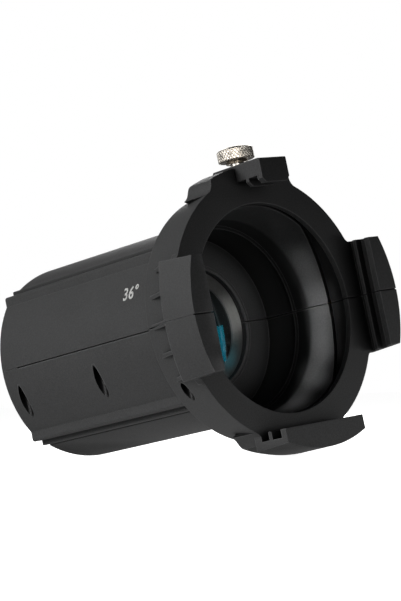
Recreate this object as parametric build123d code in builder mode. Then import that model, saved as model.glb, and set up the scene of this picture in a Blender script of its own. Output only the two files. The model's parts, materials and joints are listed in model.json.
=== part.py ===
from build123d import *
import math
import os

os.makedirs("parts", exist_ok=True)

# Interchangeable lens tube of an ellipsoidal spotlight, in millimetres.
# The optical axis is Y, the front flange face lies at y = 0, the tube runs back to +Y, Z is up.

# ---------------------------------------------------------------- driving dimensions
opening_r = 66.6          # front aperture
ring_depth = 4.0          # length of the front aperture wall
flange_r = 84.6           # outside of the front flange
hood_end_r = 79.9         # outside of the hood at its rear edge
hood_end_y = 33.0
shoulder_y = 40.0         # where the hood's shoulder meets the barrel
tube_end_y = 189.0
cone_slope = 0.118        # inner cone, radius lost per mm of depth
ridge_y = 42.8            # low stop ridge inside the cone
ridge_r = 59.5

side_r = 71.0             # barrel side panels
side_half_z = 42.1
rail_half_x = 57.0        # square corner rails
rail_half_z = 48.9
step_half_x = 49.2
step_half_z = 52.3
panel_half_x = 43.0       # curved top and bottom panels
panel_r = 82.5
panel_shift = 17.3
rail_round = 2.0          # rounding of the rails' outer corners
step_round = 1.0
wall = 3.0

seam = 0.01               # half the gap between the two shells
groove_half = 0.4         # half width of the groove that marks the parting line
groove_deep = 0.9
ear_r = 91.2              # outside of the accessory brackets
ear_half = 35.2
ear_back_y = 5.5
flare_r = 91.7            # the same at the back of the brackets, which widen to the rear
flare_half = 36.8
flare_corner = 86.3
top_ear_r = 90.4
top_ear_half = 34.9
bottom_ear_r = 89.8
deep_ear_y = 21.5         # length of the top and bottom ears
lip_front_y = -20.6
lip_back_y = -16.3
rib_front_y = -8.8
rib_back_y = -6.2
clip_step = -1.4          # the clip's lip and rib stand this much further forward
holder_chord = 75.4       # inner edge of lips and ribs
slot_floor = 80.5         # bottom of the frame slots
gusset_t = 2.5

web_y = 67.0              # partition that carries the front lens
web_t = 3.0
front_clear_r = 38.5
front_cell_r = 41.2
front_stop_r = 31.0
web2_y = 121.0            # partition that carries the rear lens
rear_clear_r = 40.5
rear_cell_r = 44.2
rear_stop_r = 37.0
bore_r = 60.0             # clear bore through the baffle ribs
cell_wall = 2.8
cell_len = 9.0
stop_drop = 3.5           # the cell ends in a cone that narrows to the stop radius
relief_x = 40.0           # side reliefs behind the aperture wall start this far from the middle
relief_slope = 0.47
relief_r = 70.1

screw_side_x = 66.5       # shell screws, all vertical, driven from below
screw_rear_y = 176.5
screw_mid_y = 100.0
screw_flange_x = 69.7
screw_flange_y = 20.5
screw_r = 1.5
screw_clear_r = 1.7
head_r = 2.75
head_h = 4.0
cbore_r = 3.5
seat_side_z = -5.0
seat_flange_z = -28.0
insert_r = 2.4
insert_len = 8.0

clip_half = 12.0          # retainer clip across the top of the frame slots
clip_top = 91.0
clip_floor = 83.0
clip_end_y = 19.6
channel_half = 13.0
knob_y = 8.3              # thumbscrew axis
knob_r = 11.6
knob_bottom = 95.5
knob_edge = 102.6
knob_top = 104.5
collar_r = 7.0
neck_r = 4.6
washer_r = 7.0
washer_t = 1.0
stud_r = 2.5
stud_end = 73.5
eclip_z = 81.0
eclip_t = 0.8


# ---------------------------------------------------------------- shared shapes
def across(y):
    """Plane square to the optical axis at depth y, local x to +X and local y to +Z."""
    return Plane.XZ.offset(-y)


def tube_section(y, inset, half_x=80):
    """Barrel outline: round sides, stepped corner rails, shallow curved top and bottom."""
    half = panel_half_x - inset
    r = panel_r - inset
    edge = math.sqrt(r * r - half * half) - panel_shift
    apex = r - panel_shift
    with BuildSketch(across(y)) as plan:
        Circle(side_r - inset)
        Rectangle(160, 2 * (side_half_z - inset), mode=Mode.INTERSECT)
        Rectangle(2 * (rail_half_x - inset), 2 * (rail_half_z - inset))
        Rectangle(2 * (step_half_x - inset), 2 * (step_half_z - inset))
        with BuildLine():
            ThreePointArc((-half, edge), (0, apex), (half, edge))
            Line((half, edge), (half, -edge))
            ThreePointArc((half, -edge), (0, -apex), (-half, -edge))
            Line((-half, -edge), (-half, edge))
        make_face()
        for corner_x, corner_z, rounding in (
            (rail_half_x - inset, rail_half_z - inset, rail_round),
            (step_half_x - inset, step_half_z - inset, step_round),
        ):
            fillet([v for v in plan.vertices() if math.hypot(abs(v.X) - corner_x, abs(v.Y) - corner_z) < 0.1],
                   rounding)
        Rectangle(2 * half_x, 160, mode=Mode.INTERSECT)
    return plan.sketch


def disc(y, r):
    """Round face square to the optical axis."""
    with BuildSketch(across(y)) as plan:
        Circle(r)
    return plan.sketch


def turned(points, mode=Mode.ADD):
    """Turn a closed outline of (radius, y) points about the optical axis."""
    with BuildSketch(Plane.XY) as plan:
        with BuildLine():
            Polyline(*points, close=True)
        make_face()
    revolve(profiles=plan.sketch, axis=Axis.Y, mode=mode)


def slab(x0, x1, y0, y1, z0, z1, mode=Mode.ADD):
    with Locations(((x0 + x1) / 2, (y0 + y1) / 2, (z0 + z1) / 2)):
        Box(x1 - x0, y1 - y0, z1 - z0, mode=mode)


def ear_outline(y, turn, outer, side):
    """Ear on the round flange, with eased feet; turn is the angle from the top."""
    foot = math.radians(28.2)
    foot_top = 81.5
    foot_x = flange_r * math.sin(foot) * 0.998
    foot_z = flange_r * math.cos(foot) * 0.998
    top = math.sqrt(outer * outer - side * side)
    with BuildSketch(across(y)) as plan:
        with BuildLine():
            ThreePointArc((-side, top), (0, outer), (side, top))
            Line((side, top), (side, foot_top))
            ThreePointArc((side, foot_top), (side + 1.2, foot_top - 3.8), (foot_x, foot_z))
            Polyline((foot_x, foot_z), (30, 70), (-30, 70), (-foot_x, foot_z))
            ThreePointArc((-foot_x, foot_z), (-side - 1.2, foot_top - 3.8), (-side, foot_top))
            Line((-side, foot_top), (-side, top))
        make_face()
    return plan.sketch.rotate(Axis.Y, turn)


def crowned(y, half, corner, apex):
    """Bracket outline: flat below, straight ends, and an arc from corner to corner over the apex."""
    with BuildSketch(across(y)) as plan:
        with BuildLine():
            ThreePointArc((-half, corner), (0, apex), (half, corner))
            Polyline((half, corner), (half, holder_chord), (-half, holder_chord), (-half, corner))
        make_face()
    return plan.sketch


def gusset(side, z, end_y):
    """Thin rib behind a side bracket, falling from the bracket wall to the hood."""
    top = ear_r - 0.4 - 0.0038 * z * z
    low_r = flange_r - (flange_r - hood_end_r) * end_y / hood_end_y
    low = math.sqrt(low_r**2 - z**2) - 0.4
    thick = 3.4 if z == 0 else gusset_t
    with BuildSketch(Plane.XY.offset(z - thick / 2)) as plan:
        with BuildLine():
            Polyline((side * top, ear_back_y - 1), (side * (top - 1.2), ear_back_y + 1.6),
                     (side * low, end_y), (side * 68, end_y - 2), (side * 68, ear_back_y - 1), close=True)
        make_face()
    extrude(to_extrude=plan.sketch, amount=thick, dir=(0, 0, 1))


# accessory bracket on top of the flange: two frame slots, an inner rib and a front lip
with BuildPart() as bracket:
    front_end = crowned(lip_front_y, ear_half, math.sqrt(ear_r**2 - ear_half**2), ear_r)
    rear_end = crowned(ear_back_y, flare_half, flare_corner, flare_r)
    loft(sections=[front_end, rear_end])
    for y0, y1 in ((lip_back_y, rib_front_y), (rib_back_y, 0)):
        slab(-50, 50, y0, y1, 60, slot_floor, mode=Mode.SUBTRACT)
    front_edges = bracket.edges().group_by(Axis.Y)[0]
    fillet(front_edges.filter_by(Axis.Z), 0.5)

# long ears above and below the flange, rounded down to the hood at the back
with BuildPart() as top_ear:
    extrude(to_extrude=ear_outline(0, 0, top_ear_r, top_ear_half), amount=-deep_ear_y)
    fillet(top_ear.edges().group_by(Axis.Y)[-1].sort_by(Axis.Z)[-1], 4.0)
with BuildPart() as bottom_ear:
    extrude(to_extrude=ear_outline(0, 180, bottom_ear_r, ear_half), amount=-deep_ear_y)
    fillet(bottom_ear.edges().group_by(Axis.Y)[-1].sort_by(Axis.Z)[0], 4.5)

with BuildPart() as side_reliefs:
    with BuildSketch(Plane.XY):
        for s in (-1, 1):
            with BuildLine():
                Polyline((s * relief_x, ring_depth + 0.6), (s * 75, ring_depth + 0.6),
                         (s * 75, ring_depth + relief_slope * (75 - relief_x)), close=True)
            make_face()
    extrude(amount=80, both=True)
    with BuildSketch(across(0)):
        Circle(relief_r)
    extrude(amount=-40, mode=Mode.INTERSECT)

# groove along the visible parting line: a thin plate round a core that keeps clear of the surfaces
with BuildPart() as parting_groove:
    hood_x = hood_end_r - groove_deep
    chord_x = holder_chord + groove_deep
    mouth_x = opening_r + groove_deep
    with BuildSketch(Plane.XY) as plan:
        with Locations((0, 85)):
            Rectangle(200, 230)
        for s in (-1, 1):
            with BuildLine():
                Polyline(
                    (0, 200), (s * 80, 200), (s * 80, 173), (s * (side_r - groove_deep), 173),
                    (s * (side_r - groove_deep), shoulder_y), (s * hood_x, hood_end_y - 0.6),
                    (s * hood_x, 30), (s * (ear_r - 1.3), ear_back_y + 2), (s * 95, ear_back_y),
                    (s * 95, lip_front_y + groove_deep), (s * chord_x, lip_front_y + groove_deep),
                    (s * chord_x, groove_deep), (s * mouth_x, groove_deep),
                    (s * mouth_x, ring_depth - groove_deep), (s * (relief_r + 1), ring_depth - groove_deep),
                    (s * (relief_r + 1), 19.3), (s * 65.3, 17.4),
                    (s * 59.4, web_y + groove_deep), (0, web_y + groove_deep), close=True,
                )
            make_face(mode=Mode.SUBTRACT)
        stop_y = web_y + web_t + cell_len - 2
        for s in (-1, 1):
            with BuildLine():
                Polyline((s * (front_clear_r - 0.5), stop_y + 0.1), (s * (front_stop_r - 2), stop_y + 4.3),
                         (s * (front_stop_r - 2), stop_y + 5.3), (s * (front_clear_r - 0.5), stop_y + 1.1),
                         close=True)
            make_face()
    extrude(amount=groove_half, both=True)


def shell_body():
    """Both shells before the parting cut."""
    extrude(to_extrude=tube_section(shoulder_y - 6, 0), amount=-(tube_end_y - shoulder_y + 6))
    turned([(0, 0), (flange_r, 0), (hood_end_r, hood_end_y), (64, shoulder_y + 6), (0, shoulder_y + 6)])

    # ears on the flange, with the accessory brackets on three of them
    for turn in (90, 180, 270):
        extrude(to_extrude=ear_outline(0, turn, ear_r, ear_half), amount=-ear_back_y)
        add(bracket.part.rotate(Axis.Y, turn))
    add(top_ear.part)
    add(bottom_ear.part)
    for side in (-1, 1):
        for z, end in ((-33.6, 24.0), (-18.0, 28.0), (0.0, 30.0), (18.0, 28.0), (33.6, 24.0)):
            gusset(side, z, end)

    # front aperture, the groove behind it and the inner cone
    cone_start = 6.0
    turned([
        (0, -1), (opening_r, -1), (opening_r, ring_depth), (opening_r + 4, ring_depth),
        (opening_r + 4, cone_start), (opening_r - cone_slope * cone_start, cone_start),
        (opening_r - cone_slope * web_y, web_y), (0, web_y),
    ], mode=Mode.SUBTRACT)
    ridge = opening_r - cone_slope * ridge_y + 1
    turned([(ridge, ridge_y - 0.6), (ridge_r, ridge_y), (ridge_r, ridge_y + 0.7), (ridge, ridge_y + 1.3)])

    # wedge reliefs in the side walls, deepest at the parting line
    add(side_reliefs.part, mode=Mode.SUBTRACT)

    # inside of the barrel: clear bore, then pockets between the baffle ribs
    for y0, y1 in ((web_y + web_t, web2_y), (web2_y + web_t, tube_end_y + 1)):
        extrude(to_extrude=disc(y0, bore_r), amount=-(y1 - y0), mode=Mode.SUBTRACT)
    for y0, y1 in (
        (web_y + web_t, 82.0), (83.6, 94.2), (105.8, web2_y),
        (web2_y + web_t, 138.0), (139.6, 153.6), (155.2, 170.7), (182.3, tube_end_y + 1),
    ):
        extrude(to_extrude=tube_section(y0, wall), amount=-(y1 - y0), mode=Mode.SUBTRACT)
    for y0, y1 in ((94.2, 105.8), (170.7, 182.3)):
        extrude(to_extrude=tube_section(y0, wall, 61.5), amount=-(y1 - y0), mode=Mode.SUBTRACT)

    # lens cells
    for y0, clear, cell, stop in (
        (web_y, front_clear_r, front_cell_r, front_stop_r),
        (web2_y, rear_clear_r, rear_cell_r, rear_stop_r),
    ):
        extrude(to_extrude=disc(y0 - 1, clear), amount=-(web_t + 2), mode=Mode.SUBTRACT)
        seat = y0 + web_t
        turned([
            (cell, seat - 1), (cell + cell_wall, seat - 1), (cell + cell_wall, seat + cell_len),
            (stop, seat + cell_len + stop_drop), (stop, seat + cell_len - 2 + stop_drop),
            (clear, seat + cell_len - 2), (cell, seat + cell_len - 2),
        ])
        extrude(to_extrude=disc(seat, cell), amount=-(cell_len - 2), mode=Mode.SUBTRACT)
    for r in (39.1, 41.0):
        turned([(r, web_y + 0.5), (r + 0.1, web_y - 0.5), (r + 0.5, web_y - 0.5), (r + 0.6, web_y + 0.5)])


# ---------------------------------------------------------------- upper shell
with BuildPart() as upper_shell:
    shell_body()
    add(parting_groove.part, mode=Mode.SUBTRACT)
    slab(-120, 120, -40, 200, -120, seam, mode=Mode.SUBTRACT)
    # channel for the retainer clip and its thumbscrew bore
    slab(-channel_half, channel_half, -1, 40, clip_floor - 0.05, 100, mode=Mode.SUBTRACT)
    with BuildSketch(Plane.XY.offset(79.2)):
        with Locations((0, knob_y)):
            Circle(6.0)
    extrude(amount=8, mode=Mode.SUBTRACT)
    with BuildSketch(Plane.XY.offset(72.5)):
        with Locations((0, knob_y)):
            Circle(3.6)
    extrude(amount=8, mode=Mode.SUBTRACT)
    # holes for the threaded inserts
    spots = [(s * screw_side_x, y) for s in (-1, 1) for y in (screw_rear_y, screw_mid_y)]
    spots += [(s * screw_flange_x, screw_flange_y) for s in (-1, 1)]
    with BuildSketch(Plane.XY):
        with Locations(*spots):
            Circle(insert_r)
    extrude(amount=seam + insert_len, mode=Mode.SUBTRACT)
    # groove that takes the lower shell's tongue
    for s in (-1, 1):
        for y0, y1 in ((44, 94), (106, 170.5)):
            slab(s * 68.5 - 1.1, s * 68.5 + 1.1, y0, y1, 0, 1.7, mode=Mode.SUBTRACT)
upper_shell.part.label = "upper_shell"
export_step(upper_shell.part, "parts/upper_shell.step")


# ---------------------------------------------------------------- lower shell
with BuildPart() as lower_shell:
    shell_body()
    add(parting_groove.part, mode=Mode.SUBTRACT)
    slab(-120, 120, -40, 200, -seam, 120, mode=Mode.SUBTRACT)
    # tongue on the side walls
    for s in (-1, 1):
        for y0, y1 in ((44.1, 93.9), (106.1, 170.4)):
            slab(s * 68.5 - 1, s * 68.5 + 1, y0, y1, -1, 1.5)
    spots = [(s * screw_side_x, y) for s in (-1, 1) for y in (screw_rear_y, screw_mid_y)]
    with BuildSketch(Plane.XY.offset(seat_side_z)):
        with Locations(*spots):
            Circle(cbore_r)
    extrude(amount=-60, mode=Mode.SUBTRACT)
    with BuildSketch(Plane.XY.offset(seat_flange_z)):
        with Locations((-screw_flange_x, screw_flange_y), (screw_flange_x, screw_flange_y)):
            Circle(cbore_r)
    extrude(amount=-40, mode=Mode.SUBTRACT)
    spots += [(s * screw_flange_x, screw_flange_y) for s in (-1, 1)]
    with BuildSketch(Plane.XY.offset(2)):
        with Locations(*spots):
            Circle(screw_clear_r)
    extrude(amount=-60, mode=Mode.SUBTRACT)
lower_shell.part.label = "lower_shell"
export_step(lower_shell.part, "parts/lower_shell.step")


# ---------------------------------------------------------------- lenses and their cushions
def sag_at(r, clear, sag):
    """Height above the rim plane of a spherical face of the given sag."""
    sphere = (clear * clear + sag * sag) / (2 * sag)
    return sag - sphere + math.sqrt(sphere * sphere - r * r)


def lens_outline(edge_r, clear, y0, y1, front_sag, rear_sag):
    """Biconvex moulded lens with a flat rim."""
    mid = clear / 2
    with BuildSketch(Plane.XY) as plan:
        with BuildLine():
            Line((0, y0 - front_sag), (0, y1 + rear_sag))
            ThreePointArc((0, y1 + rear_sag), (mid, y1 + sag_at(mid, clear, rear_sag)), (clear, y1))
            Polyline((clear, y1), (edge_r, y1), (edge_r, y0), (clear, y0))
            ThreePointArc((clear, y0), (mid, y0 - sag_at(mid, clear, front_sag)), (0, y0 - front_sag))
        make_face()
    revolve(profiles=plan.sketch, axis=Axis.Y)


front_seat = web_y + web_t
with BuildPart() as front_lens:
    lens_outline(front_cell_r - 0.2, 29.8, front_seat + 1.45, front_seat + 5.55, 3.0, 9.0)
front_lens.part.label = "front_lens"
export_step(front_lens.part, "parts/front_lens.step")

rear_seat = web2_y + web_t
with BuildPart() as rear_lens:
    lens_outline(rear_cell_r - 0.2, 36.0, rear_seat + 1.45, rear_seat + 5.55, 9.0, 3.0)
rear_lens.part.label = "rear_lens"
export_step(rear_lens.part, "parts/rear_lens.step")


def cushion(inner, outer, y0, y1):
    with BuildSketch(across(y0)) as plan:
        Circle(outer)
        Circle(inner, mode=Mode.SUBTRACT)
    extrude(to_extrude=plan.sketch, amount=-(y1 - y0))


with BuildPart() as front_lens_front_gasket:
    cushion(front_clear_r + 0.2, front_cell_r - 0.1, front_seat + 0.02, front_seat + 1.43)
front_lens_front_gasket.part.label = "front_lens_front_gasket"
export_step(front_lens_front_gasket.part, "parts/front_lens_front_gasket.step")

with BuildPart() as front_lens_rear_gasket:
    cushion(front_clear_r + 0.2, front_cell_r - 0.1, front_seat + 5.57, front_seat + 6.98)
front_lens_rear_gasket.part.label = "front_lens_rear_gasket"
export_step(front_lens_rear_gasket.part, "parts/front_lens_rear_gasket.step")

with BuildPart() as rear_lens_front_gasket:
    cushion(rear_clear_r + 0.2, rear_cell_r - 0.1, rear_seat + 0.02, rear_seat + 1.43)
rear_lens_front_gasket.part.label = "rear_lens_front_gasket"
export_step(rear_lens_front_gasket.part, "parts/rear_lens_front_gasket.step")

with BuildPart() as rear_lens_rear_gasket:
    cushion(rear_clear_r + 0.2, rear_cell_r - 0.1, rear_seat + 5.57, rear_seat + 6.98)
rear_lens_rear_gasket.part.label = "rear_lens_rear_gasket"
export_step(rear_lens_rear_gasket.part, "parts/rear_lens_rear_gasket.step")


# ---------------------------------------------------------------- shell screws and inserts
def cap_screws(x, y, seat_z):
    """A mirrored pair of socket head screws, heads down."""
    spots = [(-x, y), (x, y)]
    with BuildSketch(Plane.XY.offset(seat_z - 0.02)) as heads:
        with Locations(*spots):
            Circle(head_r)
    extrude(to_extrude=heads.sketch, amount=-head_h)
    with BuildSketch(Plane.XY.offset(seat_z - 0.5)) as shanks:
        with Locations(*spots):
            Circle(screw_r)
    extrude(to_extrude=shanks.sketch, amount=7.0 - seat_z + 0.5)
    with BuildSketch(Plane.XY.offset(seat_z - 0.02 - head_h)) as sockets:
        with Locations(*spots):
            RegularPolygon(1.45, 6)
    extrude(to_extrude=sockets.sketch, amount=2.0, mode=Mode.SUBTRACT)


def insert_pair(x, y):
    with BuildSketch(Plane.XY.offset(seam + 0.02)) as plan:
        with Locations((-x, y), (x, y)):
            Circle(insert_r)
            Circle(screw_r + 0.03, mode=Mode.SUBTRACT)
    extrude(to_extrude=plan.sketch, amount=insert_len - 0.05)


with BuildPart() as rear_shell_screws:
    cap_screws(screw_side_x, screw_rear_y, seat_side_z)
rear_shell_screws.part.label = "rear_shell_screws"
export_step(rear_shell_screws.part, "parts/rear_shell_screws.step")

with BuildPart() as middle_shell_screws:
    cap_screws(screw_side_x, screw_mid_y, seat_side_z)
middle_shell_screws.part.label = "middle_shell_screws"
export_step(middle_shell_screws.part, "parts/middle_shell_screws.step")

with BuildPart() as flange_shell_screws:
    cap_screws(screw_flange_x, screw_flange_y, seat_flange_z)
flange_shell_screws.part.label = "flange_shell_screws"
export_step(flange_shell_screws.part, "parts/flange_shell_screws.step")

with BuildPart() as rear_shell_inserts:
    insert_pair(screw_side_x, screw_rear_y)
rear_shell_inserts.part.label = "rear_shell_inserts"
export_step(rear_shell_inserts.part, "parts/rear_shell_inserts.step")

with BuildPart() as middle_shell_inserts:
    insert_pair(screw_side_x, screw_mid_y)
middle_shell_inserts.part.label = "middle_shell_inserts"
export_step(middle_shell_inserts.part, "parts/middle_shell_inserts.step")

with BuildPart() as flange_shell_inserts:
    insert_pair(screw_flange_x, screw_flange_y)
flange_shell_inserts.part.label = "flange_shell_inserts"
export_step(flange_shell_inserts.part, "parts/flange_shell_inserts.step")


# ---------------------------------------------------------------- retainer clip
with BuildPart() as retainer_clip:
    slab(-clip_half, clip_half, lip_front_y + clip_step, -0.1, slot_floor, clip_top)
    slab(-clip_half, clip_half, -0.2, clip_end_y, clip_floor, clip_top)
    for front_y, back_y in ((lip_front_y, lip_back_y), (rib_front_y, rib_back_y)):
        with BuildSketch(across(back_y + clip_step)):
            with BuildLine():
                Polyline((-clip_half, slot_floor + 1), (-clip_half, holder_chord + 3),
                         (-clip_half + 3, holder_chord), (clip_half - 3, holder_chord),
                         (clip_half, holder_chord + 3), (clip_half, slot_floor + 1), close=True)
            make_face()
        extrude(amount=back_y - front_y)
    # hollow underside of the arm
    slab(-9.5, 9.5, 2.2, clip_end_y - 2.2, clip_floor - 1, 88.0, mode=Mode.SUBTRACT)
    with BuildSketch(Plane.XY.offset(80)):
        with Locations((0, knob_y)):
            Circle(stud_r + 0.25)
    extrude(amount=20, mode=Mode.SUBTRACT)
    fillet(retainer_clip.edges().filter_by(Axis.X).sort_by(Axis.Z)[-2:], 1.2)
retainer_clip.part.label = "retainer_clip"
export_step(retainer_clip.part, "parts/retainer_clip.step")


# ---------------------------------------------------------------- thumbscrew group
axis_plane = Plane(origin=(0, knob_y, 0), x_dir=(1, 0, 0), z_dir=(0, -1, 0))
screw_axis = Axis((0, knob_y, 0), (0, 0, 1))


def spun(points):
    """Turn an outline of (radius, height) points about the thumbscrew axis."""
    with BuildSketch(axis_plane) as plan:
        with BuildLine():
            Polyline(*points, close=True)
        make_face()
    revolve(profiles=plan.sketch, axis=screw_axis)


with BuildPart() as thumbscrew_knob:
    spun([
        (stud_r, knob_bottom - 3.3), (neck_r, knob_bottom - 3.3), (neck_r, knob_bottom - 1.6),
        (collar_r, knob_bottom - 1.6), (collar_r, knob_bottom),
        (knob_r - 0.7, knob_bottom), (knob_r, knob_bottom + 0.7), (knob_r, knob_edge - 0.3),
        (knob_r - 0.9, knob_edge + 0.6), (knob_r - 2.6, knob_top - 0.5), (knob_r - 5.0, knob_top),
        (0, knob_top), (0, knob_top - 3.5), (stud_r, knob_top - 3.5),
    ])
thumbscrew_knob.part.label = "thumbscrew_knob"
export_step(thumbscrew_knob.part, "parts/thumbscrew_knob.step")

with BuildPart() as thumbscrew_stud:
    spun([
        (0, stud_end), (stud_r - 0.7, stud_end), (stud_r, stud_end + 0.7), (stud_r, eclip_z),
        (stud_r - 0.5, eclip_z), (stud_r - 0.5, eclip_z + eclip_t), (stud_r, eclip_z + eclip_t),
        (stud_r, knob_top - 3.6), (0, knob_top - 3.6),
    ])
thumbscrew_stud.part.label = "thumbscrew_stud"
export_step(thumbscrew_stud.part, "parts/thumbscrew_stud.step")

with BuildPart() as thumbscrew_retaining_ring:
    with BuildSketch(Plane.XY.offset(eclip_z + 0.03)):
        with Locations((0, knob_y)):
            Circle(4.8)
            Circle(stud_r - 0.48, mode=Mode.SUBTRACT)
        with Locations((0, knob_y + 4)):
            Rectangle(3.0, 6.4, mode=Mode.SUBTRACT)
    extrude(amount=eclip_t - 0.06)
thumbscrew_retaining_ring.part.label = "thumbscrew_retaining_ring"
export_step(thumbscrew_retaining_ring.part, "parts/thumbscrew_retaining_ring.step")

with BuildPart() as thumbscrew_washer:
    with BuildSketch(Plane.XY.offset(clip_top + 0.03)):
        with Locations((0, knob_y)):
            Circle(washer_r)
            Circle(stud_r + 0.2, mode=Mode.SUBTRACT)
    extrude(amount=washer_t)
thumbscrew_washer.part.label = "thumbscrew_washer"
export_step(thumbscrew_washer.part, "parts/thumbscrew_washer.step")

with BuildPart() as thumbscrew_insert:
    with BuildSketch(Plane.XY.offset(72.55)):
        with Locations((0, knob_y)):
            Circle(3.6)
            Circle(stud_r + 0.05, mode=Mode.SUBTRACT)
    extrude(amount=6.55)
thumbscrew_insert.part.label = "thumbscrew_insert"
export_step(thumbscrew_insert.part, "parts/thumbscrew_insert.step")
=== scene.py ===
# Looks of an ellipsoidal spotlight's lens tube: materials, visual pieces, studio and camera.
# Metres; X is to the right when facing the flange, Y runs back along the optical axis, Z is up.
import json
import math

import bmesh
import bpy
from mathutils import Matrix, Vector


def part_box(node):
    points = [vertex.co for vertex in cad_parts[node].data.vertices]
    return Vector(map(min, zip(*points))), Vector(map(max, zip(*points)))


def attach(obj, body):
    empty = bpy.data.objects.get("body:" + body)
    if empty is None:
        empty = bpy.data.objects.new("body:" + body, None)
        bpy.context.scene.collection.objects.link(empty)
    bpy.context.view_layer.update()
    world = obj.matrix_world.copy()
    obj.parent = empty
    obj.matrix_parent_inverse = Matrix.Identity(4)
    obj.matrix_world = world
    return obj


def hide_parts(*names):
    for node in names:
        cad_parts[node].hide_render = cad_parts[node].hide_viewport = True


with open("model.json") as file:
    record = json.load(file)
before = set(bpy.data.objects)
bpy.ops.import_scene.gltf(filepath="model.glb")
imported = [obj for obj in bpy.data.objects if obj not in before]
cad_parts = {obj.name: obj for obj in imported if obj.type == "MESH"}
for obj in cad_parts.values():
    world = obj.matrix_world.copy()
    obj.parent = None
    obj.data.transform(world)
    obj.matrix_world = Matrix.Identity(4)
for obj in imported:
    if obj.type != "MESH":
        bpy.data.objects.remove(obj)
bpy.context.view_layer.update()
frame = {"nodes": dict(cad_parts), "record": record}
scene = bpy.context.scene
NODES = frame["nodes"]
SLOTS = {part["node"]: part["material_slot"] for part in frame["record"]["subparts"]}


# ---------------------------------------------------------------- node helpers
def new_mat(name):
    """Material, its node tree, its main shader and its output node."""
    m = bpy.data.materials.new(name)
    m.use_nodes = True
    nt = m.node_tree
    nt.nodes.clear()
    out = nt.nodes.new("ShaderNodeOutputMaterial")
    bsdf = nt.nodes.new("ShaderNodeBsdfPrincipled")
    nt.links.new(bsdf.outputs[0], out.inputs[0])
    return m, nt, bsdf, out


def coords(nt):
    """Object coordinates, in metres in the shared frame."""
    return nt.nodes.new("ShaderNodeTexCoord").outputs["Object"]


def noise(nt, vec, scale, detail, rough, dist=0.0):
    """Fractal noise, as a 0 to 1 factor."""
    n = nt.nodes.new("ShaderNodeTexNoise")
    n.inputs["Scale"].default_value = scale
    n.inputs["Detail"].default_value = detail
    n.inputs["Roughness"].default_value = rough
    n.inputs["Distortion"].default_value = dist
    nt.links.new(vec, n.inputs["Vector"])
    return n.outputs["Fac"]


def ramp(nt, fac, stops):
    """Colour ramp over (position, grey or colour) stops."""
    n = nt.nodes.new("ShaderNodeValToRGB")
    cr = n.color_ramp
    while len(cr.elements) < len(stops):
        cr.elements.new(0.5)
    for e, (p, c) in zip(cr.elements, stops):
        e.position = p
        e.color = (c, c, c, 1) if isinstance(c, (int, float)) else (*c, 1)
    nt.links.new(fac, n.inputs[0])
    return n.outputs[0]


def maths(nt, op, a, b=None):
    """Math node on one or two numbers or sockets."""
    n = nt.nodes.new("ShaderNodeMath")
    n.operation = op
    for i, v in enumerate((a, b)):
        if v is None:
            continue
        if isinstance(v, (int, float)):
            n.inputs[i].default_value = v
        else:
            nt.links.new(v, n.inputs[i])
    return n.outputs[0]


def product(nt, *masks):
    """Mask that holds where all the given masks hold."""
    result = masks[0]
    for mask in masks[1:]:
        result = maths(nt, "MULTIPLY", result, mask)
    return result


def mix_col(nt, fac, a, b, blend="MIX"):
    """Blend of colour a towards colour b."""
    n = nt.nodes.new("ShaderNodeMix")
    n.data_type = "RGBA"
    n.blend_type = blend
    if isinstance(fac, (int, float)):
        n.inputs[0].default_value = fac
    else:
        nt.links.new(fac, n.inputs[0])
    for i, v in ((6, a), (7, b)):
        if isinstance(v, tuple):
            n.inputs[i].default_value = (*v, 1)
        else:
            nt.links.new(v, n.inputs[i])
    return n.outputs[2]


def mixed(nt, factor, first, second):
    """Blend of two shaders."""
    mix = nt.nodes.new("ShaderNodeMixShader")
    nt.links.new(factor, mix.inputs[0])
    nt.links.new(first, mix.inputs[1])
    nt.links.new(second, mix.inputs[2])
    return mix.outputs[0]


def bump(nt, height, strength, distance, normal=None):
    """Bumped normal from a height factor."""
    n = nt.nodes.new("ShaderNodeBump")
    n.inputs["Strength"].default_value = strength
    n.inputs["Distance"].default_value = distance
    nt.links.new(height, n.inputs["Height"])
    if normal is not None:
        nt.links.new(normal, n.inputs["Normal"])
    return n.outputs[0]


# ---------------------------------------------------------------- materials
PAINT_RADIUS = 0.0633      # the anti-glare paint covers what lies nearer to the axis than this
PAINT_FRONT = 0.0318       # and further back than this
PAINT_FADE = 0.0014        # half the width of the paint's soft front edge
ANNULUS_FRONT = 0.0665     # depth of the bare partition round the front lens
BARREL_PAINT = 0.083       # and, behind the front lens cell, paint from here to the rear
PAINT_BLACK = (0.018, 0.0182, 0.0185)
PAINT_ROUGH = (0.9, 0.9, 0.9)

RELIEF_TAPER = 0.118       # the hood's wall narrows by this share of its depth
RELIEF_WALL = 0.0669       # radius of the hood's wall at the flange's face
RELIEF_RADIUS = 0.0712     # outer radius of the side reliefs cut into it
RELIEF_FRONT, RELIEF_BACK = 0.0042, 0.021
# painted shade: the undercut side reliefs are darkened to this colour
RELIEF_SHADE_BLACK = (0.034, 0.0342, 0.0346)

SCREWS = ((0.0665, 0.1), (0.0665, 0.1765), (0.0697, 0.0205))   # shell screws, on both sides
HOLE_RADIUS = 0.00356
HOLE_TOP = -0.0055         # the holes run down from this height
GROOVE_HALF = 0.00041      # half the height of the parting groove
# painted shade inside the screw holes and the parting groove, which are also made glossier
HOLE_GROOVE_SHADE_BLACK = (0.004, 0.004, 0.0042)
HOLE_GROOVE_ROUGH = (0.28, 0.28, 0.28)

EDGE_ROUND = 0.0011        # moulded edge radius
EDGE_HIGHLIGHT = 0.8          # how far edges go towards the paler colour, as a painted highlight
# painted shade: reach of the ambient occlusion that darkens corners and slots
CORNER_SHADE_REACH = 0.012        # corners and slots narrower than this are dulled
LENS_CLEAR = 0.0299        # radius where the front lens's flat rim starts


def xyz(nt, vec):
    """The three components of a vector."""
    sep = nt.nodes.new("ShaderNodeSeparateXYZ")
    nt.links.new(vec, sep.inputs[0])
    return sep.outputs


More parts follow.
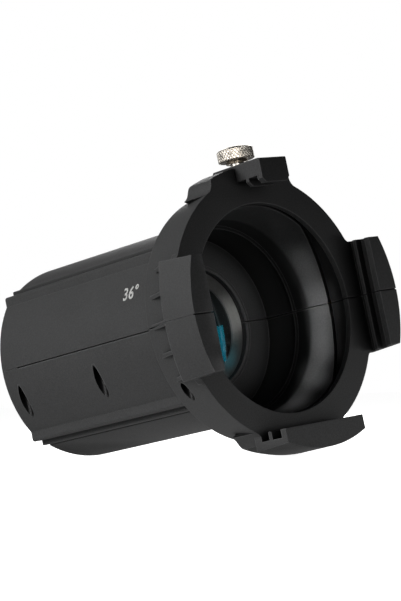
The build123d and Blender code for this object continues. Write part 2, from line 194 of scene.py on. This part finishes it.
def polar(nt, vec):
    """Distance from the optical axis, and depth along it."""
    x, y, z = xyz(nt, vec)
    xx = maths(nt, "MULTIPLY", x, x)
    zz = maths(nt, "MULTIPLY", z, z)
    return maths(nt, "SQRT", maths(nt, "ADD", xx, zz)), y


def paint_mask(nt, radius, depth):
    """Anti-glare paint inside the tube, from partway down the hood to the rear."""
    inside = maths(nt, "LESS_THAN", radius, PAINT_RADIUS)
    behind = nt.nodes.new("ShaderNodeMapRange")
    behind.inputs["From Min"].default_value = PAINT_FRONT - PAINT_FADE
    behind.inputs["From Max"].default_value = PAINT_FRONT + PAINT_FADE
    nt.links.new(depth, behind.inputs["Value"])
    hood = product(nt, inside, behind.outputs[0], maths(nt, "LESS_THAN", depth, ANNULUS_FRONT))
    barrel = product(nt, inside, maths(nt, "GREATER_THAN", depth, BARREL_PAINT))
    return maths(nt, "MAXIMUM", hood, barrel)


def relief_shade_mask(nt, radius, depth):
    """Side reliefs behind the aperture wall, outside the cone of the hood's inner wall: painted shade,
    darkened as if the undercut lay in shadow.
    """
    cone = maths(nt, "ADD", radius, maths(nt, "MULTIPLY", depth, RELIEF_TAPER))
    return product(
        nt,
        maths(nt, "GREATER_THAN", cone, RELIEF_WALL),
        maths(nt, "LESS_THAN", radius, RELIEF_RADIUS),
        maths(nt, "GREATER_THAN", depth, RELIEF_FRONT),
        maths(nt, "LESS_THAN", depth, RELIEF_BACK),
    )


def hole_groove_shade_mask(nt, vec):
    """Screw holes and the parting groove, both darkened with painted shade."""
    x, y, z = xyz(nt, vec)
    wide = maths(nt, "ABSOLUTE", x)
    holes = None
    for screw_x, screw_y in SCREWS:
        dx = maths(nt, "SUBTRACT", wide, screw_x)
        dy = maths(nt, "SUBTRACT", y, screw_y)
        away = maths(nt, "ADD", maths(nt, "MULTIPLY", dx, dx), maths(nt, "MULTIPLY", dy, dy))
        near = maths(nt, "LESS_THAN", away, HOLE_RADIUS**2)
        holes = near if holes is None else maths(nt, "MAXIMUM", holes, near)
    holes = product(nt, holes, maths(nt, "LESS_THAN", z, HOLE_TOP))
    groove = maths(nt, "LESS_THAN", maths(nt, "ABSOLUTE", z), GROOVE_HALF)
    return maths(nt, "MAXIMUM", holes, groove)


def edge_mask(nt, rounded):
    """Edges, where the rounded normal leaves the face's own normal."""
    geo = nt.nodes.new("ShaderNodeNewGeometry")
    turn = nt.nodes.new("ShaderNodeVectorMath")
    turn.operation = "DOT_PRODUCT"
    nt.links.new(rounded, turn.inputs[0])
    nt.links.new(geo.outputs["Normal"], turn.inputs[1])
    return ramp(nt, turn.outputs["Value"], [(0.84, 1.0), (0.985, 0.0)])


def corner_shaded(nt, base):
    """Colour darkened in corners and narrow slots by ambient occlusion: painted shade."""
    corner = nt.nodes.new("ShaderNodeAmbientOcclusion")
    corner.samples = 6
    corner.inputs["Distance"].default_value = CORNER_SHADE_REACH
    open_share = ramp(nt, corner.outputs["AO"], [(0.35, 0.12), (0.90, 1.0)])
    return mix_col(nt, 1.0, base, open_share, "MULTIPLY")


def plastic(name, dark, light, rough, grain, hollow=False):
    """Moulded, spark-textured black plastic with flow mottling and dust, a painted highlight along its edges
    and painted shade in its corners and slots.
    """
    m, nt, b, _ = new_mat(name)
    v = coords(nt)
    mottle = noise(nt, v, 28, 5, 0.6, 0.4)
    dust = noise(nt, v, 240, 4, 0.7)
    fine = noise(nt, v, 2600, 2, 0.6)
    base = mix_col(nt, ramp(nt, mottle, [(0.3, 0.0), (0.7, 1.0)]), dark, light)
    speck = ramp(nt, dust, [(0.66, 0.0), (0.78, 1.0)])
    base = mix_col(nt, maths(nt, "MULTIPLY", speck, 0.25), base, tuple(1.9 * c for c in light))
    sparks = ramp(nt, noise(nt, v, 1150, 2, 0.65), [(0.38, 0.0), (0.66, 1.0)])
    base = mix_col(nt, maths(nt, "MULTIPLY", sparks, 0.42), base, tuple(1.75 * c for c in light))
    roughness = ramp(nt, mottle, [(0.2, rough - 0.05), (0.8, rough + 0.07)])
    if hollow:
        # the shells are painted black inside, and painted shade darkens their holes and groove
        radius, depth = polar(nt, v)
        painted = paint_mask(nt, radius, depth)
        shaded_holes_groove = hole_groove_shade_mask(nt, v)
        base = mix_col(nt, painted, base, PAINT_BLACK)
        # painted shade darkens the undercut side reliefs
        base = mix_col(nt, relief_shade_mask(nt, radius, depth), base, RELIEF_SHADE_BLACK)
        # painted shade in the screw holes and the parting groove
        base = mix_col(nt, shaded_holes_groove, base, HOLE_GROOVE_SHADE_BLACK)
        roughness = mix_col(nt, painted, roughness, PAINT_ROUGH)
        roughness = mix_col(nt, shaded_holes_groove, roughness, HOLE_GROOVE_ROUGH)
    nt.links.new(roughness, b.inputs["Roughness"])
    b.inputs["Specular IOR Level"].default_value = 0.32
    edge = nt.nodes.new("ShaderNodeBevel")
    edge.samples = 6
    edge.inputs["Radius"].default_value = EDGE_ROUND
    # painted highlight: edges are lightened towards the paler colour
    edge_highlight = maths(nt, "MULTIPLY", edge_mask(nt, edge.outputs[0]), EDGE_HIGHLIGHT)
    base = mix_col(nt, edge_highlight, base, tuple(3.2 * c for c in light))
    # painted shade in corners and narrow slots
    nt.links.new(corner_shaded(nt, base), b.inputs["Base Color"])
    grained = bump(nt, fine, 0.35, grain, edge.outputs[0])
    nt.links.new(bump(nt, mottle, 0.10, 0.0006, grained), b.inputs["Normal"])
    return m


def metal(name, col, rough, dirt=(0.10, 0.09, 0.08)):
    """Turned metal with fine streaks round it and a little grime."""
    m, nt, b, _ = new_mat(name)
    squeezed = nt.nodes.new("ShaderNodeMapping")
    squeezed.inputs["Scale"].default_value = (1, 1, 14)
    nt.links.new(coords(nt), squeezed.inputs[0])
    streak = noise(nt, squeezed.outputs[0], 900, 4, 0.65)
    grime = noise(nt, coords(nt), 420, 4, 0.6)
    base = mix_col(nt, ramp(nt, streak, [(0.3, 0.0), (0.7, 1.0)]), col, tuple(0.82 * c for c in col))
    base = mix_col(nt, maths(nt, "MULTIPLY", ramp(nt, grime, [(0.55, 0.0), (0.8, 1.0)]), 0.35), base, dirt)
    nt.links.new(base, b.inputs["Base Color"])
    b.inputs["Metallic"].default_value = 1.0
    nt.links.new(ramp(nt, streak, [(0.25, rough - 0.06), (0.8, rough + 0.12)]), b.inputs["Roughness"])
    nt.links.new(bump(nt, streak, 0.15, 0.00005), b.inputs["Normal"])
    return m


def rubber(name):
    """Matt black rubber with a fine grain."""
    m, nt, b, _ = new_mat(name)
    v = coords(nt)
    n = noise(nt, v, 600, 4, 0.6)
    shade = ramp(nt, n, [(0.3, (0.012, 0.012, 0.012)), (0.8, (0.03, 0.03, 0.029))])
    nt.links.new(shade, b.inputs["Base Color"])
    nt.links.new(ramp(nt, n, [(0.2, 0.62), (0.8, 0.8)]), b.inputs["Roughness"])
    nt.links.new(bump(nt, n, 0.2, 0.0001), b.inputs["Normal"])
    return m


def coated_glass(name, clear_radius=None):
    """Clear glass with a teal coating and faint dust; past clear_radius it is ground and uncoated."""
    m, nt, b, out = new_mat(name)
    v = coords(nt)
    dust = noise(nt, v, 500, 5, 0.7)
    coat = noise(nt, v, 16, 2, 0.5, 0.3)
    b.inputs["IOR"].default_value = 1.52
    b.inputs["Transmission Weight"].default_value = 1.0
    b.inputs["Specular IOR Level"].default_value = 0.9
    rough = ramp(nt, dust, [(0.55, 0.01), (0.9, 0.06)])
    through = ramp(nt, coat, [(0.3, (0.52, 0.57, 0.58)), (0.7, (0.56, 0.60, 0.61))])
    if clear_radius:
        ground = maths(nt, "GREATER_THAN", polar(nt, v)[0], clear_radius)
        rough = mix_col(nt, ground, rough, (0.42, 0.42, 0.42))
        frost = ramp(nt, dust, [(0.3, (0.060, 0.060, 0.058)), (0.8, (0.10, 0.10, 0.097))])
        through = mix_col(nt, ground, through, frost)
        clouded = maths(nt, "MULTIPLY", ground, 0.75)
        nt.links.new(maths(nt, "SUBTRACT", 1.0, clouded), b.inputs["Transmission Weight"])
    nt.links.new(rough, b.inputs["Roughness"])
    nt.links.new(through, b.inputs["Base Color"])
    sheen = ramp(nt, coat, [(0.3, (0.03, 0.60, 0.80)), (0.7, (0.05, 0.80, 0.86))])
    if clear_radius:
        sheen = mix_col(nt, ground, sheen, (0.45, 0.45, 0.44))
    nt.links.new(sheen, b.inputs["Specular Tint"])
    # light passes through to what lies behind the glass
    clear = nt.nodes.new("ShaderNodeBsdfTransparent")
    clear.inputs[0].default_value = (0.92, 0.96, 0.965, 1)
    path = nt.nodes.new("ShaderNodeLightPath")
    nt.links.new(mixed(nt, path.outputs["Is Shadow Ray"], b.outputs[0], clear.outputs[0]), out.inputs[0])
    return m


def paint(name, col):
    """Printed paint, slightly uneven."""
    m, nt, b, _ = new_mat(name)
    v = coords(nt)
    n = noise(nt, v, 900, 4, 0.7)
    base = ramp(nt, n, [(0.25, tuple(0.55 * c for c in col)), (0.6, col)])
    nt.links.new(base, b.inputs["Base Color"])
    nt.links.new(ramp(nt, n, [(0.3, 0.45), (0.8, 0.62)]), b.inputs["Roughness"])
    nt.links.new(bump(nt, n, 0.2, 0.00004), b.inputs["Normal"])
    return m


MAT = {
    "shell": plastic("shell_plastic", (0.040, 0.0403, 0.0408), (0.050, 0.0503, 0.0508), 0.56, 0.00016, True),
    "clip": plastic("clip_plastic", (0.038, 0.0382, 0.0388), (0.047, 0.0472, 0.0478), 0.54, 0.00016),
    "lens": coated_glass("coated_lens_glass"),
    "front_lens": coated_glass("coated_ground_rim_glass", LENS_CLEAR),
    "gasket": rubber("silicone_gasket"),
    "screw": metal("zinc_steel", (0.60, 0.585, 0.56), 0.30),
    "insert": metal("machined_brass", (0.70, 0.50, 0.22), 0.34),
    "knob": metal("nickel_plate", (0.70, 0.655, 0.59), 0.26, dirt=(0.16, 0.13, 0.10)),
}


def body(node):
    """Blender object of a CAD node."""
    found = NODES[node]
    return bpy.data.objects[found] if isinstance(found, str) else found


# a node has its own material or else its slot's
for node in NODES:
    o = body(node)
    o.data.materials.clear()
    o.data.materials.append(MAT.get(node, MAT[SLOTS[node]]))


# ---------------------------------------------------------------- beam-angle numerals
BARREL_R = 0.0710          # radius of the barrel's side panel
TEXT_Y = 0.0642            # depth where the figures start
TEXT_Z = 0.0232            # their foot, measured round the panel from the parting line
TEXT_TALL = 0.0080
CAP_SHARE = 0.70           # height of a figure as a share of the font's size
TEXT_NARROW = 0.86
TEXT_LEAN = 0.10           # the figures lean forward a little
TEXT_PROUD, TEXT_SUNK = 0.00012, 0.00010


def link_mesh(name, bm, material):
    """New object in the scene from a finished bmesh."""
    mesh = bpy.data.meshes.new(name)
    bm.to_mesh(mesh)
    bm.free()
    o = bpy.data.objects.new(name, mesh)
    scene.collection.objects.link(o)
    mesh.materials.append(material)
    return o


def flat_figures():
    """The figures as a flat filled mesh, from Blender's own font."""
    data = bpy.data.curves.new("beam_angle_text", "FONT")
    data.body = "36\u00b0"
    data.size = TEXT_TALL / CAP_SHARE
    data.space_character = 1.08
    data.resolution_u = 6
    data.offset = 0.0002
    flat = bpy.data.objects.new("beam_angle_flat", data)
    scene.collection.objects.link(flat)
    bpy.context.view_layer.update()
    shape = bpy.data.meshes.new_from_object(flat)
    bpy.data.objects.remove(flat)
    return shape


def numerals():
    """Plain raised white figures that give the beam angle, bent round the left side of the barrel."""
    shape = flat_figures()
    bm = bmesh.new()
    bm.from_mesh(shape)
    bpy.data.meshes.remove(shape)
    bmesh.ops.remove_doubles(bm, verts=bm.verts, dist=1e-6)
    bmesh.ops.triangulate(bm, faces=bm.faces)
    low = min(v.co.x for v in bm.verts)
    for v in bm.verts:
        v.co.x = (v.co.x - low) * TEXT_NARROW + v.co.y * TEXT_LEAN
    grown = bmesh.ops.extrude_face_region(bm, geom=list(bm.faces))
    top = {g for g in grown["geom"] if isinstance(g, bmesh.types.BMVert)}
    for v in bm.verts:
        r = BARREL_R + (TEXT_PROUD if v in top else -TEXT_SUNK)
        around = (TEXT_Z + v.co.y) / BARREL_R
        along = TEXT_Y - v.co.x
        v.co = Vector((-r * math.cos(around), along, r * math.sin(around)))
    bmesh.ops.recalc_face_normals(bm, faces=bm.faces)
    piece = link_mesh("beam_angle_numerals", bm, paint("numeral_paint", (0.80, 0.80, 0.78)))
    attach(piece, "barrel")


numerals()


# ---------------------------------------------------------------- knurled thumbscrew head
HEAD_RISE = 0.0033         # underside of the head above the stem's foot
COLLAR_TALL = 0.0016       # threaded collar between stem and head
COLLAR_R = 0.0070
THREADS, THREAD_DEEP = 5, 0.0003
CROWN_TALL = 0.0019        # turned crown above the knurled rim
TEETH = 32
TOOTH_STEPS = 10           # points round each tooth
KNURL_ROWS = 34
KNURL_DEEP = 0.00046
KNURL_WIDTH = 0.42         # width of a groove as a share of half a tooth
KNURL_SLOPE = 1.25         # height of a diamond over its width


def head_profile(rim, foot, top):
    """Rows (radius, height, knurl share) of the thumbscrew head, from its foot upwards."""
    face = foot + HEAD_RISE
    collar = face - COLLAR_TALL
    shoulder = top - CROWN_TALL
    rows = [
        (0.00255, foot, 0.0), (0.0045, foot, 0.0), (0.0046, collar - 0.0001, 0.0),
        (0.0069, collar, 0.0), (COLLAR_R, collar + 0.0001, 0.0),
    ]
    for k in range(1, THREADS * 2):
        dip = THREAD_DEEP if k % 2 else 0.0
        rows.append((COLLAR_R - dip, collar + (face - collar) * k / (2 * THREADS), 0.0))
    rows += [(COLLAR_R, face - 0.00005, 0.0), (rim - 0.0012, face, 0.0), (rim - 0.0005, face + 0.0002, 0.2)]
    for k in range(KNURL_ROWS + 1):
        rows.append((rim, face + 0.0006 + (shoulder - face - 0.0008) * (k / KNURL_ROWS), 1.0))
    rows += [
        (rim - 0.0003, shoulder + 0.0001, 0.5), (rim - 0.0011, shoulder + 0.0008, 0.0),
        (rim - 0.0024, shoulder + 0.0014, 0.0), (rim - 0.0036, top - 0.0001, 0.0), (rim - 0.0048, top, 0.0),
        (rim - 0.0056, top - 0.0002, 0.0), (0.0030, top - 0.0002, 0.0), (0.0006, top - 0.0002, 0.0),
    ]
    return rows


def knurled_head():
    """Thumbscrew head with a diamond knurl cut into its rim; stands for the plain CAD head."""
    lo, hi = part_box("thumbscrew_knob")
    mid_x, mid_y = (lo[0] + hi[0]) / 2, (lo[1] + hi[1]) / 2
    rim = (hi[0] - lo[0]) / 2
    pitch = math.tau * rim / TEETH
    steps = TEETH * TOOTH_STEPS
    bm = bmesh.new()
    rings = []
    for r, z, share in head_profile(rim, lo[2], hi[2]):
        ring = []
        for i in range(steps):
            # two families of grooves climb the rim in opposite directions
            a = math.tau * i / steps
            u = a * rim / pitch
            w = (z - lo[2] - HEAD_RISE) / (pitch * KNURL_SLOPE)
            left = abs(((u + w) % 1.0) - 0.5) * 2
            right = abs(((u - w) % 1.0) - 0.5) * 2
            cut = r - max(0.0, 1 - min(left, right) / KNURL_WIDTH) * KNURL_DEEP * share
            ring.append(bm.verts.new((mid_x + cut * math.cos(a), mid_y + cut * math.sin(a), z)))
        rings.append(ring)
    for below, above in zip(rings, rings[1:]):
        for i in range(steps):
            k = (i + 1) % steps
            bm.faces.new((below[i], below[k], above[k], above[i]))
    bm.faces.new(rings[-1])
    bm.faces.new(list(reversed(rings[0])))
    bmesh.ops.recalc_face_normals(bm, faces=bm.faces)
    piece = link_mesh("knurled_thumbscrew_head", bm, MAT["knob"])
    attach(piece, "thumbscrew")
    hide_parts("thumbscrew_knob")
    return piece


knob_piece = knurled_head()


# ---------------------------------------------------------------- floor and backdrop
# the tube lies on its bottom bracket and the rear edge of its barrel, as in the photograph
FLOOR_UP = Vector((0.085, -0.140, 0.985)).normalized()
FLOOR_RADIUS = 6.0
FLOOR_GAP = 0.0003
FLOOR_SEEN = 0.95          # glow of the floor to the camera
FLOOR_GLOW = ((0.08, 0.44), (0.45, 0.10))   # (distance from the spot under the flange, glow on the object)
BACKDROP_SEEN, BACKDROP_LIT = 1.0, 0.035    # to the camera, and to everything else


def floor_material():
    """Pale paper sheet: nearly white to the eye, a dimmer bounce for the object, nothing from below."""
    m, nt, b, out = new_mat("pale_floor")
    n = noise(nt, coords(nt), 6, 3, 0.5)
    nt.links.new(ramp(nt, n, [(0.3, 0.86), (0.7, 0.90)]), b.inputs["Base Color"])
    b.inputs["Roughness"].default_value = 0.9
    b.inputs["Specular IOR Level"].default_value = 0.1
    b.inputs["Emission Color"].default_value = (1, 1, 1, 1)
    b.inputs["Emission Strength"].default_value = FLOOR_SEEN
    # what the object receives from it: a soft glow round the foot that fades outwards
    reach = nt.nodes.new("ShaderNodeVectorMath")
    reach.operation = "LENGTH"
    nt.links.new(coords(nt), reach.inputs[0])
    bounce = nt.nodes.new("ShaderNodeEmission")
    nt.links.new(ramp(nt, reach.outputs["Value"], FLOOR_GLOW), bounce.inputs[0])
    path = nt.nodes.new("ShaderNodeLightPath")
    seen = mixed(nt, path.outputs["Is Camera Ray"], bounce.outputs[0], b.outputs[0])
    clear = nt.nodes.new("ShaderNodeBsdfTransparent")
    geo = nt.nodes.new("ShaderNodeNewGeometry")
    nt.links.new(mixed(nt, geo.outputs["Backfacing"], seen, clear.outputs[0]), out.inputs[0])
    return m


def lay_floor():
    """Round sheet that touches the lowest point of the tube."""
    bm = bmesh.new()
    bmesh.ops.create_circle(bm, cap_ends=True, segments=96, radius=FLOOR_RADIUS)
    floor = link_mesh("floor", bm, floor_material())
    lowest = min(Vector(v.co).dot(FLOOR_UP) for v in body("lower_shell").data.vertices)
    tilt = FLOOR_UP.to_track_quat("Z", "Y").to_matrix().to_4x4()
    floor.matrix_world = Matrix.Translation(FLOOR_UP * (lowest - FLOOR_GAP)) @ tilt


def hang_backdrop():
    """White surroundings to the camera, dim ones to everything else."""
    world = bpy.data.worlds.new("studio")
    scene.world = world
    world.use_nodes = True
    nt = world.node_tree
    nt.nodes.clear()
    out = nt.nodes.new("ShaderNodeOutputWorld")
    seen, lit = (nt.nodes.new("ShaderNodeBackground") for _ in range(2))
    for shade, strength in ((seen, BACKDROP_SEEN), (lit, BACKDROP_LIT)):
        shade.inputs[0].default_value = (1, 1, 1, 1)
        shade.inputs[1].default_value = strength
    path = nt.nodes.new("ShaderNodeLightPath")
    nt.links.new(mixed(nt, path.outputs["Is Camera Ray"], lit.outputs[0], seen.outputs[0]), out.inputs[0])


lay_floor()
hang_backdrop()


# ---------------------------------------------------------------- lights
TUBE_MIDDLE = Vector((0.0, 0.08, 0.0))
BAND_RADIUS, BAND_DEPTH = 0.0640, 0.0235    # the hood's inner wall where the bright band lies
BLADE_FAR, BLADE_DEEP, BLADE_SPREAD, BLADE_POWER = 0.28, 0.016, 3.6, 0.0022


def aimed(name, data, place, target):
    """New lamp at a place, turned towards a target."""
    o = bpy.data.objects.new(name, data)
    scene.collection.objects.link(o)
    o.location = place
    o.rotation_mode = "QUATERNION"
    o.rotation_quaternion = (Vector(target) - Vector(place)).to_track_quat("-Z", "Y")
    return o


def softbox(name, place, size, power, target=TUBE_MIDDLE):
    """Rectangular soft light."""
    d = bpy.data.lights.new(name, "AREA")
    d.shape = "RECTANGLE"
    d.size, d.size_y = size
    d.energy = power
    return aimed(name, d, place, target)


def snoot(name, place, target, radius, power):
    """Narrow lamp that lights a soft-edged spot of the given radius."""
    d = bpy.data.lights.new(name, "SPOT")
    d.spot_size = 2 * math.atan(radius / (Vector(target) - Vector(place)).length)
    d.spot_blend = 1.0
    d.shadow_soft_size = 0.04
    d.energy = power
    return aimed(name, d, place, target)


def only_on(light, name, nodes, *pieces):
    """Let a light reach the named bodies and the given pieces only."""
    group = bpy.data.collections.new(name)
    for o in (*map(body, nodes), *pieces):
        group.objects.link(o)
    light.light_linking.receiver_collection = group


def blade(name, target, toward, distance, size, spread, power):
    """Thin sheet of nearly parallel light: a long narrow panel with a small spread, in degrees."""
    place = Vector(target) + Vector(toward).normalized() * distance
    o = softbox(name, place, size, power, target)
    o.data.spread = math.radians(spread)
    look = (Vector(target) - place).normalized()
    across = look.cross(Vector((0, 0, 1))).normalized()
    rise = across.cross(look)
    o.rotation_quaternion = Matrix((rise, -across, -look)).transposed().to_quaternion()
    return o


def light_tube():
    """Soft boxes left, right and above, and a weak one low in front of the flange."""
    softbox("key_left", (-1.35, 0.30, 0.46), (1.0, 1.0), 15.2)
    softbox("back_right", (1.2, 0.8, 0.55), (1.0, 1.0), 13)
    softbox("top_soft", (-0.45, 0.60, 1.3), (0.9, 0.7), 3.8)
    front_low = softbox("front_low", (0.30, -0.45, -0.11), (0.30, 0.10), 0.042, (0.04, 0, -0.075))
    front_low.data.spread = math.radians(50)


def light_hood_band():
    """Bright band on the right of the hood's inner wall, strongest in the middle."""
    sideways, steeper = (-0.92, -0.36, 0.12), (-0.84, -0.42, 0.20)
    for z, toward, tall, share in (
        (0.048, sideways, 0.024, 0.05), (0.024, sideways, 0.024, 0.38), (0.0, sideways, 0.024, 0.86),
        (-0.024, sideways, 0.024, 0.84), (-0.044, steeper, 0.018, 0.54), (-0.059, steeper, 0.014, 0.30),
    ):
        wall = (math.sqrt(BAND_RADIUS**2 - z * z), BAND_DEPTH, z)
        blade("hood_blade", wall, toward, BLADE_FAR, (tall, BLADE_DEEP), BLADE_SPREAD, BLADE_POWER * share)


def light_lens():
    """Light into the front lens cell, a teal gleam in the lens and a pale one on its rim."""
    snoot("lens_snoot", (-0.45, -0.85, 0.12), (0.030, 0.078, -0.002), 0.024, 60)
    card_place, lens_spot = (0.0310, 0.0585, -0.0125), (0.014, 0.0698, -0.0115)
    glint = softbox("lens_glint", card_place, (0.009, 0.027), 0.0017, lens_spot)
    glint.data.color = (0.0, 0.72, 0.95)
    glint.visible_camera = False
    glint.visible_diffuse = False
    glint.visible_transmission = False
    only_on(glint, "glint_receivers", ("front_lens",))
    rim_spot = (0.0312, 0.0690, 0.0050)
    rim_gleam = blade("rim_gleam", rim_spot, (-0.35, -0.92, 0.15), 0.30, (0.010, 0.010), 6.0, 0.0021)
    only_on(rim_gleam, "rim_receivers", ("front_lens",))


def light_thumbscrew():
    """Card of its own for the bright metal."""
    lo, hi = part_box("thumbscrew_knob")
    middle = (Vector(lo) + Vector(hi)) / 2
    card = softbox("knob_card", middle + Vector((-0.45, -0.45, 0.20)), (0.5, 0.4), 3.6, middle)
    only_on(card, "knob_receivers", ("thumbscrew_knob", "thumbscrew_washer"), knob_piece)


light_tube()
light_hood_band()
light_lens()
light_thumbscrew()


# ---------------------------------------------------------------- camera
EYE = Vector((-0.98630, -0.93850, -0.09631))
HEADING, PITCH, ROLL = -44.5041, 4.6165, -11.4795   # degrees, from looking along +Y with Z up
SENSOR, FOCAL = 36.0, 131.376                       # millimetres


def turned(degrees, axis):
    """Rotation about a coordinate axis."""
    return Matrix.Rotation(math.radians(degrees), 4, axis)


cam_data = bpy.data.cameras.new("camera")
cam = bpy.data.objects.new("camera", cam_data)
scene.collection.objects.link(cam)
facing = turned(HEADING, "Z") @ turned(90 + PITCH, "X") @ turned(ROLL, "Z")
cam.matrix_world = Matrix.Translation(EYE) @ facing
cam_data.sensor_width = SENSOR
cam_data.lens = FOCAL
cam_data.clip_start, cam_data.clip_end = 0.05, 50
scene.camera = cam
scene.view_settings.view_transform = "Standard"
